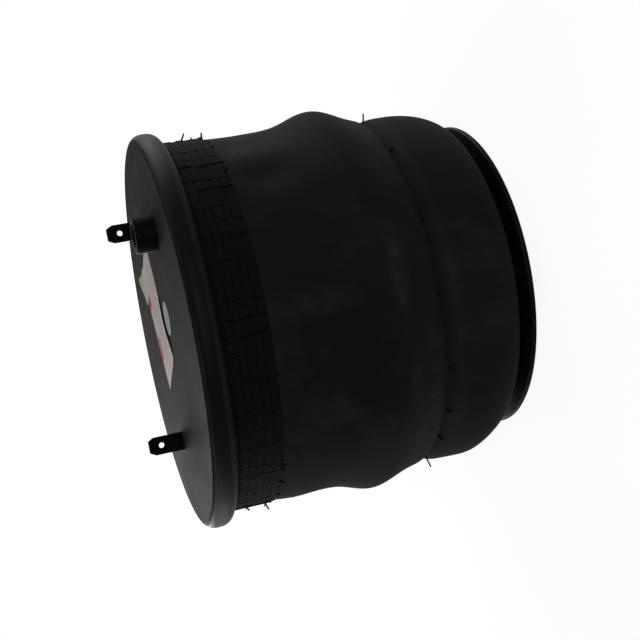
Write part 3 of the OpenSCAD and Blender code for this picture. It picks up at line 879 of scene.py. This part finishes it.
def sheet_shape(width, length, corner_r, step):
    """A flat sheet with round corners, its lower left corner at the origin."""
    shape = bmesh.new()
    corners = [shape.verts.new(p) for p in ((0, 0, 0), (width, 0, 0), (width, length, 0), (0, length, 0))]
    shape.faces.new(corners)
    bmesh.ops.bevel(
        shape, geom=corners, offset=corner_r, offset_type="OFFSET", segments=5, profile=0.5,
        affect="VERTICES", material=-1,
    )
    cut_up(shape, step)
    return shape


def thickened(shape, thickness):
    """Gives a sheet its thickness, upwards."""
    bmesh.ops.recalc_face_normals(shape, faces=shape.faces)
    lifted = bmesh.ops.extrude_face_region(shape, geom=list(shape.faces))["geom"]
    points = [part for part in lifted if isinstance(part, bmesh.types.BMVert)]
    bmesh.ops.translate(shape, verts=points, vec=(0, 0, thickness))


def laid(shape, corner, turn, lift):
    """Lays a shape on the plate by its corner."""
    bmesh.ops.rotate(shape, verts=shape.verts, cent=(0, 0, 0), matrix=Matrix.Rotation(turn, 3, "Z"))
    bmesh.ops.translate(shape, verts=shape.verts, vec=corner + Vector((0, 0, lift)))


def large_label(material):
    """The large label. Its right edge has come up a little below its middle."""
    lift, lifted_w, lifted_at, lifted_half = 0.0014, 0.012, 0.026, 0.022
    shape = sheet_shape(LABEL_W, LABEL_L, corner_r=0.0008, step=0.004)
    thickened(shape, LABEL_T)
    for point in shape.verts:
        edge = ease((point.co.x - LABEL_W + lifted_w) / lifted_w)
        point.co.z += lift * edge * hump(point.co.y, lifted_at, lifted_half)
    laid(shape, LABEL_CORNER, LABEL_TURN, LABEL_GAP)
    finished("label_large", shape, material, "top_plate")


def side_sticker(material):
    """The small sticker that lies on the large label and past its left edge, its free corner curled up."""
    width, length = 0.021, 0.024
    past_edge, up_edge = 0.0088, 0.0745
    curl, curled_w, flat_l = 0.0021, 0.0095, 0.002
    shape = sheet_shape(width, length, corner_r=0.0022, step=0.002)
    thickened(shape, LABEL_T)
    for point in shape.verts:
        free = ease((curled_w - point.co.x) / curled_w) * ease((point.co.y - flat_l) / (length - flat_l))
        point.co.z += curl * free
    bmesh.ops.translate(shape, verts=shape.verts, vec=(-past_edge, up_edge, 0))
    laid(shape, LABEL_CORNER, LABEL_TURN, LABEL_GAP + LABEL_T)
    finished("label_side_sticker", shape, material, "top_plate")


def round_sticker(material):
    """The round sticker, flat on the plate."""
    shape = bmesh.new()
    bmesh.ops.create_circle(shape, cap_ends=True, segments=64, radius=ROUND_LABEL_R)
    thickened(shape, LABEL_T)
    bmesh.ops.translate(shape, verts=shape.verts, vec=ROUND_LABEL_AT + Vector((0, 0, LABEL_GAP)))
    finished("label_round", shape, material, "top_plate")


# Threaded pieces

def threaded_sleeve(crest_r, root_r, out_r, pitch, low, high, sides=48):
    """A tube whose bore is an internal thread: flat crests, sloping flanks and narrow roots."""
    shape = bmesh.new()
    turns = math.ceil((high - low) / pitch) + 2
    points = []
    for i in range(turns):
        z = low - 1.5 * pitch + i * pitch
        for share, r in ((0.0, crest_r), (0.25, crest_r), (0.5625, root_r), (0.6875, root_r)):
            points.append(shape.verts.new((r, 0.0, z + share * pitch)))
    edges = [shape.edges.new(pair) for pair in zip(points, points[1:])]
    bmesh.ops.spin(
        shape, geom=points + edges, cent=(0, 0, 0), axis=(0, 0, 1), dvec=(0, 0, pitch / sides),
        angle=math.tau, steps=sides, use_merge=False,
    )
    bmesh.ops.remove_doubles(shape, verts=shape.verts, dist=1e-6)
    for at, way in ((low, -1), (high, 1)):
        parts = list(shape.verts) + list(shape.edges) + list(shape.faces)
        bmesh.ops.bisect_plane(shape, geom=parts, plane_co=(0, 0, at), plane_no=(0, 0, way), clear_outer=True)
    loose = [edge for edge in shape.edges if edge.is_boundary]
    wall = bmesh.ops.extrude_edge_only(shape, edges=loose)["geom"]
    for point in (part for part in wall if isinstance(part, bmesh.types.BMVert)):
        r = math.hypot(point.co.x, point.co.y)
        point.co.x *= out_r / r
        point.co.y *= out_r / r
    ends = [edge for edge in shape.edges if edge.is_boundary]
    bmesh.ops.bridge_loops(shape, edges=ends)
    bmesh.ops.remove_doubles(shape, verts=shape.verts, dist=1e-6)
    bmesh.ops.recalc_face_normals(shape, faces=shape.faces)
    return shape


def inlet_boss(material):
    """The boss, turned from bar, with its fine thread inside."""
    low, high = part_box("air_inlet_boss")
    centre, r = (low + high) / 2, (high.x - low.x) / 2
    bore, top, bottom = PORT_BORE_R, high.z, low.z
    chamfer, edge = 0.0006, 0.0010
    outline = [
        (bore, bottom), (r - chamfer, bottom), (r, bottom + chamfer), (r, top - edge),
        (r - 0.3 * edge, top - 0.3 * edge), (r - edge, top), (bore + chamfer, top), (bore, top - chamfer),
    ]
    shape = spun(outline, BOSS_SIDES)
    bmesh.ops.recalc_face_normals(shape, faces=shape.faces)
    wall_r = PORT_BORE_R + THREAD_WALL
    thread_low, thread_high = bottom + 0.0002, top - 0.0009
    add_shape(shape, threaded_sleeve(PORT_CREST_R, PORT_ROOT_R, wall_r, PORT_PITCH, thread_low, thread_high))
    bmesh.ops.translate(shape, verts=shape.verts, vec=(centre.x, centre.y, 0))
    finished("inlet_boss", shape, material, "top_plate", "air_inlet_boss", 30, turn_out=False)


def base_inserts(material):
    """The four hexagonal inserts in the piston's base, with their threads."""
    low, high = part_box("mounting_inserts")
    reach = (high.x - INSERT_R * math.cos(math.radians(15))) * math.sqrt(2)
    thread_low, thread_high = low.z + 0.0006, high.z - 0.0002
    wall_r, outer_r = INSERT_BORE_R + THREAD_WALL, INSERT_R - INSERT_GAP
    middle = Matrix.Translation((0, 0, (low.z + high.z) / 2)) @ Matrix.Rotation(math.radians(30), 4, "Z")
    whole = bmesh.new()
    for i in range(4):
        shape = bmesh.new()
        bmesh.ops.create_cone(
            shape, cap_ends=False, segments=6, radius1=outer_r, radius2=outer_r, depth=high.z - low.z,
            matrix=middle,
        )
        for z in (low.z, high.z):
            ring = [edge for edge in shape.edges if all(abs(v.co.z - z) < 1e-6 for v in edge.verts)]
            end = Matrix.Translation((0, 0, z))
            made = bmesh.ops.create_circle(shape, segments=48, radius=INSERT_BORE_R, matrix=end)
            hole = [edge for edge in shape.edges if all(v in made["verts"] for v in edge.verts)]
            bmesh.ops.triangle_fill(shape, edges=ring + hole, use_beauty=True)
        rims = [edge for edge in shape.edges if edge.is_boundary]
        bmesh.ops.bridge_loops(shape, edges=rims)
        bmesh.ops.recalc_face_normals(shape, faces=shape.faces)
        bore = threaded_sleeve(
            INSERT_CREST_R, INSERT_ROOT_R, wall_r, INSERT_PITCH, thread_low, thread_high, sides=40
        )
        add_shape(shape, bore)
        turn = Matrix.Rotation(math.radians(45 + 90 * i), 3, "Z")
        bmesh.ops.translate(shape, verts=shape.verts, vec=(reach, 0, 0))
        bmesh.ops.rotate(shape, verts=shape.verts, cent=(0, 0, 0), matrix=turn)
        add_shape(whole, shape)
    finished(
        "base_inserts", whole, material, "piston", "mounting_inserts", 30, turn_out=False
    )


cover_rubber = rubber_finish()
band_rubber = band_finish()
flash_rubber = flash_finish()
smooth_rubber = liner_finish()
plate_coat = plate_finish()
boss_coat = boss_finish()
moulded_black = moulded_finish()
zinc = metal_finish("zinc_plate", (0.62, 0.62, 0.6), (0.36, 0.36, 0.33), 0.28)
brass = metal_finish("insert_brass_turned", (0.66, 0.5, 0.22), (0.4, 0.3, 0.14), 0.25)
bead_wire = metal_finish("bead_wire_bronzed", (0.5, 0.4, 0.24), (0.3, 0.24, 0.16), 0.35)

layer_finishes = {
    "cover": cover_rubber,
    "outer_ply": cord_finish(1),
    "inner_ply": cord_finish(-1),
    "liner": smooth_rubber,
}
for layer_name, near, far, node, slot in LAYERS:
    layer_pieces(layer_name, near, far, node, layer_finishes[layer_name])

bead_ring("upper_bead", RIM_MID_R, RIM_MID_Z, UPPER_BEAD_HALF_H, cover_rubber, "top_plate")
bead_ring("lower_bead", LOWER_BEAD_R, LOWER_BEAD_Z, LOWER_BEAD_HALF_H, cover_rubber, "piston")

# Each lengthwise groove of the band is off its even place by up to a third of a column
rng = random.Random(7)
column_step, off_place = math.tau / BAND_COLUMNS, 0.32
groove_turns = [column_step * (i + rng.uniform(-off_place, off_place)) for i in range(BAND_COLUMNS)]
grip_band(groove_turns, band_rubber)
flash_fins(groove_turns, rng, flash_rubber)
threads("neck_threads", neck_places(rng), "bellows", flash_rubber, rng)
threads("band_threads", band_places(rng), "top_plate", flash_rubber, rng)

large_label(label_finish())
side_sticker(paper_finish("side_sticker_paper", (0.52, 0.48, 0.40), (0.38, 0.345, 0.28)))
round_sticker(paper_finish("round_sticker_paper", (0.33, 0.37, 0.335), (0.24, 0.28, 0.25)))
inlet_boss(boss_coat)
base_inserts(brass)

# The CAD nodes that stay, with their finishes
NODE_FINISHES = {
    "bead_plate": plate_coat,
    "boss_weld": plate_coat,
    "tab_welds": plate_coat,
    "locating_tab_inlet_side": boss_coat,
    "locating_tab_far_side": boss_coat,
    "piston": moulded_black,
    "piston_base": moulded_black,
    "centre_bolt": zinc,
    "centre_washer": zinc,
    "clamp_plate": zinc,
    "bump_stop_insert": zinc,
    "clamp_seal": smooth_rubber,
    "bump_stop": smooth_rubber,
    "upper_bead_wire": bead_wire,
    "lower_bead_wire": bead_wire,
}
for node_name, material in NODE_FINISHES.items():
    for place in nodes[node_name].material_slots:
        place.material = material


# Floor, light and camera

def floor():
    """A pale floor with the spring's shadow on it, white to the camera and in gloss."""
    shape = bmesh.new()
    bmesh.ops.create_grid(shape, x_segments=2, y_segments=2, size=6.0)
    mesh = bpy.data.meshes.new("floor")
    shape.to_mesh(mesh)
    shape.free()
    made = bpy.data.objects.new("floor", mesh)
    bpy.context.scene.collection.objects.link(made)
    finish = Finish("floor_white", roughness=0.9, specular_ior_level=0.0)
    speckle = finish.noise(40, 2, 0.5)
    finish.colour(finish.mixed(speckle, (0.8, 0.8, 0.8), (0.82, 0.82, 0.82)))
    rays = finish.node("ShaderNodeLightPath").socket.node.outputs
    seen = [Wire(finish, rays[name]) for name in ("Is Camera Ray", "Is Glossy Ray", "Is Transmission Ray")]
    glow = finish.node("ShaderNodeEmission", None, {"Color": (1.0, 1.0, 1.0), "Strength": 1.12})
    _, out, _ = finish.round_axis()
    share = (seen[0] + seen[1] + seen[2]) * (0.8 + 0.2 * out.between(0.6, 2.5))
    finish.covered(share, glow)
    mesh.materials.append(finish.material)


def studio():
    """White all round for the camera, and a dim room for the light on the spring."""
    world = bpy.data.worlds.new("studio")
    bpy.context.scene.world = world
    world.use_nodes = True
    tree = world.node_tree
    tree.nodes.clear()
    rays = tree.nodes.new("ShaderNodeLightPath")
    seen = None
    for name in ("Is Camera Ray", "Is Glossy Ray", "Is Transmission Ray"):
        ray = rays.outputs[name]
        if seen:
            either = tree.nodes.new("ShaderNodeMath")
            either.operation = "MAXIMUM"
            tree.links.new(seen, either.inputs[0])
            tree.links.new(ray, either.inputs[1])
            ray = either.outputs[0]
        seen = ray
    strength = tree.nodes.new("ShaderNodeMapRange")
    tree.links.new(seen, strength.inputs["Value"])
    strength.inputs["To Min"].default_value = ROOM_LIGHT
    strength.inputs["To Max"].default_value = 1.0
    sky = tree.nodes.new("ShaderNodeBackground")
    sky.inputs["Color"].default_value = (1.0, 1.0, 1.0, 1.0)
    tree.links.new(strength.outputs[0], sky.inputs["Strength"])
    output = tree.nodes.new("ShaderNodeOutputWorld")
    tree.links.new(sky.outputs[0], output.inputs["Surface"])


def softbox(name, place, size, power, colour):
    """A square lamp that faces the spring."""
    lamp = bpy.data.lights.new(name, "AREA")
    lamp.shape = "SQUARE"
    lamp.size = size
    lamp.energy = power
    lamp.color = colour
    made = bpy.data.objects.new(name, lamp)
    made.location = place
    made.rotation_mode = "QUATERNION"
    made.rotation_quaternion = (LIGHT_AIM - Vector(place)).to_track_quat("-Z", "Y")
    bpy.context.scene.collection.objects.link(made)


def camera():
    """The photograph's camera: a long lens, lying on its side, looking down a little at the plate's end."""
    lens = bpy.data.cameras.new("camera")
    lens.sensor_width = 36.0
    lens.lens = CAMERA_LENS
    lens.clip_end = 50.0
    made = bpy.data.objects.new("camera", lens)
    down, roll = math.radians(CAMERA_DOWN), math.radians(CAMERA_ROLL)
    back = Vector((math.cos(down), 0.0, math.sin(down)))
    level, upright = Vector((0.0, 1.0, 0.0)), Vector((-math.sin(down), 0.0, math.cos(down)))
    right = level * math.cos(roll) + upright * math.sin(roll)
    turn = Matrix((right, back.cross(right), back)).transposed()
    made.matrix_world = Matrix.Translation(CAMERA_PLACE) @ turn.to_4x4()
    bpy.context.scene.collection.objects.link(made)
    bpy.context.scene.camera = made


floor()
studio()
for name, place, size, power, colour in SOFTBOXES:
    softbox(name, place, size, power, colour)
camera()
bpy.context.scene.view_settings.view_transform = "Standard"
